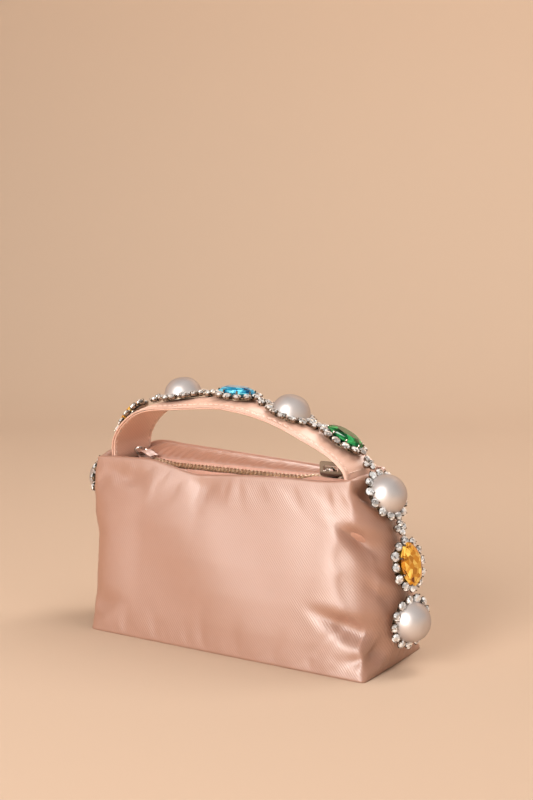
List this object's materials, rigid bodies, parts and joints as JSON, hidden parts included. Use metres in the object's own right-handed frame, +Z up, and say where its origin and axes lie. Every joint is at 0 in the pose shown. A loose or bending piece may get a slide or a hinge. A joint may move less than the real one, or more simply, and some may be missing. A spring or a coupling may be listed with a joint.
{
  "type": "evening bag",
  "caption": "Small boxy satin evening bag with a zip top, an arched strap handle, and a pearl and cut-stone trim running over the handle and down both ends.",
  "frame": {"origin": "centre of the base, on the surface the bag stands on", "axes": "+X along the bag to its right end as seen from the front, +Y from the front to the back, +Z up"},
  "size_m": [0.2115, 0.067, 0.1396],
  "materials": {
    "satin": "blush pink woven satin, soft sheen along the weave",
    "lining": "plain woven lining, matt",
    "board": "stiffener board and strap core, matt",
    "zip_tape": "pink woven zip tape",
    "zip_metal": "silver-coloured pressed teeth",
    "polished_metal": "polished plate",
    "pearl": "pearlised half dome, soft lustre",
    "cup_chain": "silver cups, each with a clear cut stone",
    "amber_crystal": "foiled cut glass, amber",
    "blue_crystal": "foiled cut glass, aqua blue",
    "green_crystal": "foiled cut glass, emerald green"
  },
  "bodies": {
    "pouch": {"base_panel": "satin", "base_board": "board", "left_gusset": "satin", "right_gusset": "satin", "lining_base": "lining", "lining_left": "lining", "lining_right": "lining", "zip_bottom_stop": "zip_metal", "ring_tab": "satin", "halo_1": "cup_chain", "halo_2": "cup_chain", "halo_3": "cup_chain", "halo_9": "cup_chain", "halo_10": "cup_chain", "halo_11": "cup_chain", "pearl_1": "pearl", "crystal_2_green": "green_crystal", "pearl_3": "pearl", "pearl_9": "pearl", "crystal_10_amber": "amber_crystal", "pearl_11": "pearl", "link_2_3": "cup_chain", "link_9_10": "cup_chain"},
    "front_half": {"front_panel": "satin", "lining_front": "lining", "front_facing": "satin", "zip_tape_front": "zip_tape", "zip_teeth_front": "zip_metal", "zip_top_stop_front": "zip_metal"},
    "back_half": {"back_panel": "satin", "lining_back": "lining", "slip_pocket": "lining", "back_facing": "satin", "zip_tape_back": "zip_tape", "zip_teeth_back": "zip_metal", "zip_top_stop_back": "zip_metal"},
    "handle": {"handle_strap": "satin", "handle_core": "board", "handle_underside": "satin", "halo_4": "cup_chain", "halo_5": "cup_chain", "halo_6": "cup_chain", "halo_7": "cup_chain", "halo_8": "cup_chain", "crystal_4_amber": "amber_crystal", "pearl_5": "pearl", "crystal_6_blue": "blue_crystal", "pearl_7": "pearl", "crystal_8_green": "green_crystal", "link_3_4": "cup_chain", "link_4_5": "cup_chain", "link_5_6": "cup_chain", "link_6_7": "cup_chain", "link_7_8": "cup_chain", "link_8_9": "cup_chain"},
    "slider": {"zip_slider": "polished_metal"},
    "pull": {"zip_pull": "polished_metal"},
    "ring": {"d_ring": "polished_metal"}
  },
  "joints": [
    {"name": "zip_slide", "type": "slide", "parent": "pouch", "child": "slider", "axis": [1, 0, 0], "range_m": [-0.11, 0], "deforming": ["zip_teeth_front", "zip_teeth_back"]},
    {"name": "pull_swing", "type": "hinge", "parent": "slider", "child": "pull", "pos_m": [0.046, 0, 0.0979], "axis": [0, 1, 0], "range_deg": [-95, 0]},
    {"name": "ring_swing", "type": "hinge", "parent": "pouch", "child": "ring", "pos_m": [-0.0742, 0, 0.0969], "axis": [0, 1, 0], "range_deg": [-15, 105]},
    {"name": "mouth_front", "type": "hinge", "parent": "pouch", "child": "front_half", "pos_m": [0, -0.0335, 0], "axis": [1, 0, 0], "range_deg": [0, 9]},
    {"name": "mouth_back", "type": "hinge", "parent": "pouch", "child": "back_half", "pos_m": [0, 0.0335, 0], "axis": [1, 0, 0], "range_deg": [-9, 0]},
    {"name": "handle_sway", "type": "hinge", "parent": "pouch", "child": "handle", "pos_m": [0, 0, 0.097], "axis": [1, 0, 0], "range_deg": [-10, 10]}
  ],
  "couplings": [
    {"joint": "mouth_back", "follows": "mouth_front", "ratio": -1}
  ]
}
